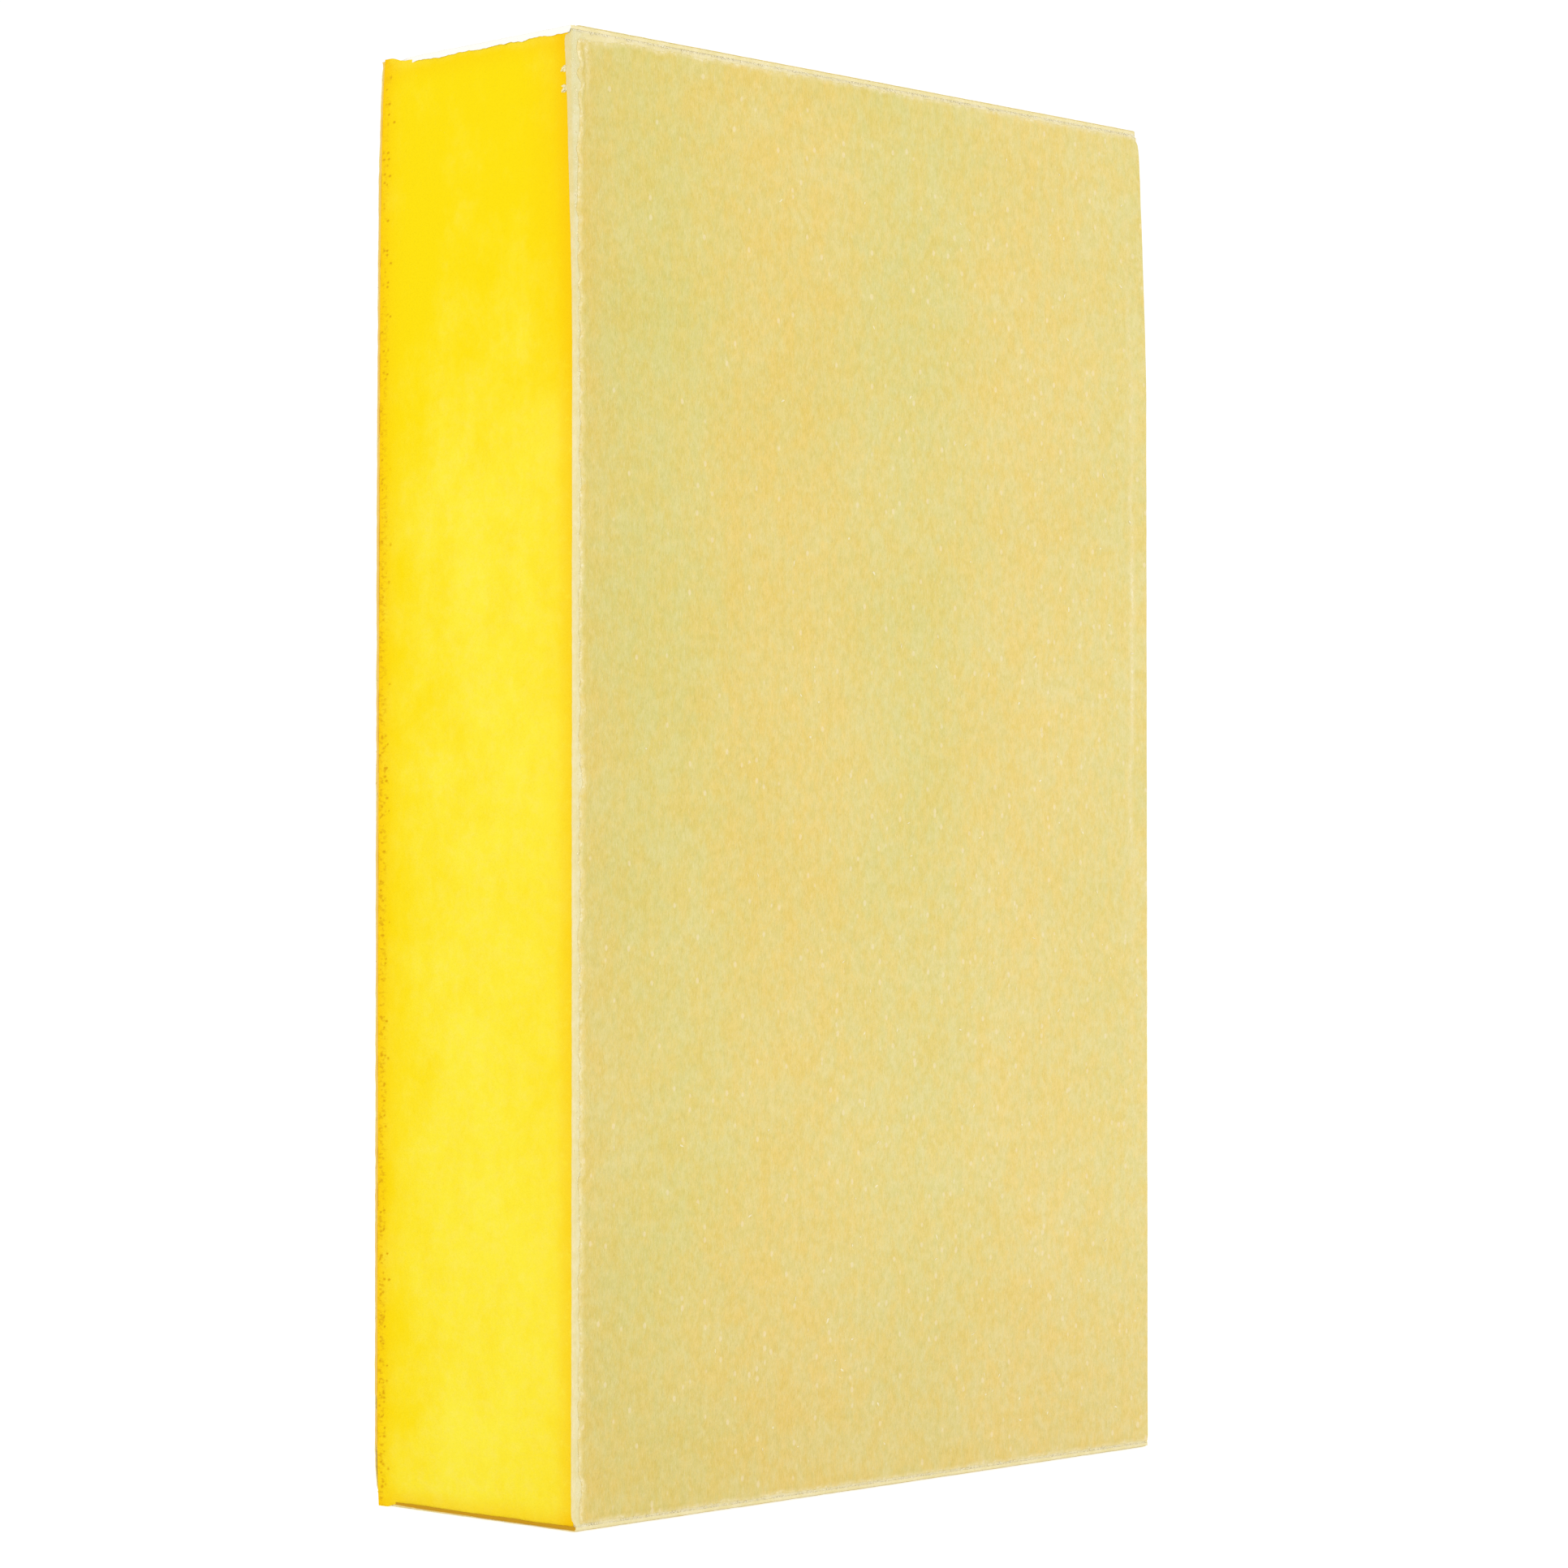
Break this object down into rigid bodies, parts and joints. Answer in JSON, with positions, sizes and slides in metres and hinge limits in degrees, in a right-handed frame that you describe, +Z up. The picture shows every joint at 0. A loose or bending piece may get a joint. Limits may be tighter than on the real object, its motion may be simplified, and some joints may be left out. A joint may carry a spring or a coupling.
{
  "type": "sanding block",
  "caption": "Flat rectangular hand sanding block: dense yellow foam core with fine-grit abrasive sheets glued to both broad faces and both ends, bare foam along the narrow sides.",
  "frame": {"origin": "centre of the bottom end, which the block stands on", "axes": "+Z up the block's length, +Y through its thickness from the front working face (facing -Y) to the back one, +X across the working faces; the bare foam sides face -X and +X"},
  "size_m": [0.076, 0.0244, 0.125],
  "materials": {
    "foam": "matte",
    "glue": "satin",
    "paper": "matte",
    "grit": "matte"
  },
  "bodies": {
    "root": {"foam_core": "foam", "front_glue_film": "glue", "front_paper_backing": "paper", "front_grit_coat": "grit", "back_glue_film": "glue", "back_paper_backing": "paper", "back_grit_coat": "grit", "top_glue_film": "glue", "top_paper_backing": "paper", "top_grit_coat": "grit", "bottom_glue_film": "glue", "bottom_paper_backing": "paper", "bottom_grit_coat": "grit"}
  },
  "joints": []
}
